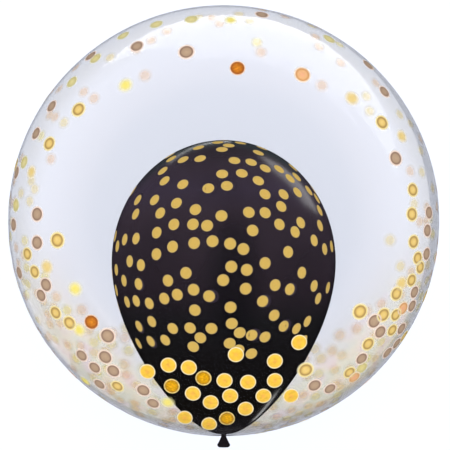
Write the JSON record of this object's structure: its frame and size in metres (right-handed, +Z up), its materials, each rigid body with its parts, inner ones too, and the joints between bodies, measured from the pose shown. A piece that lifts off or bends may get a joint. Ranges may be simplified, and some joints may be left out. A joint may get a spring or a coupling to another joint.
{
  "type": "confetti balloon",
  "caption": "Clear bubble balloon printed with gold confetti dots, holding a smaller black latex balloon whose neck and flared tail leave through the film.",
  "frame": {"origin": "centre of the small flat resting spot, straight below the bubble's centre", "axes": "+Z up; +Y away from the neck along the balloons' long axis, so the tail points along -Y; +X to the right seen from above"},
  "size_m": [0.53, 0.5442, 0.5273],
  "materials": {
    "clear_film": "gloss",
    "black_latex": "gloss",
    "gold_print": "satin"
  },
  "bodies": {
    "root": {"clear_bubble": "clear_film", "inner_balloon": "black_latex"}
  },
  "joints": []
}
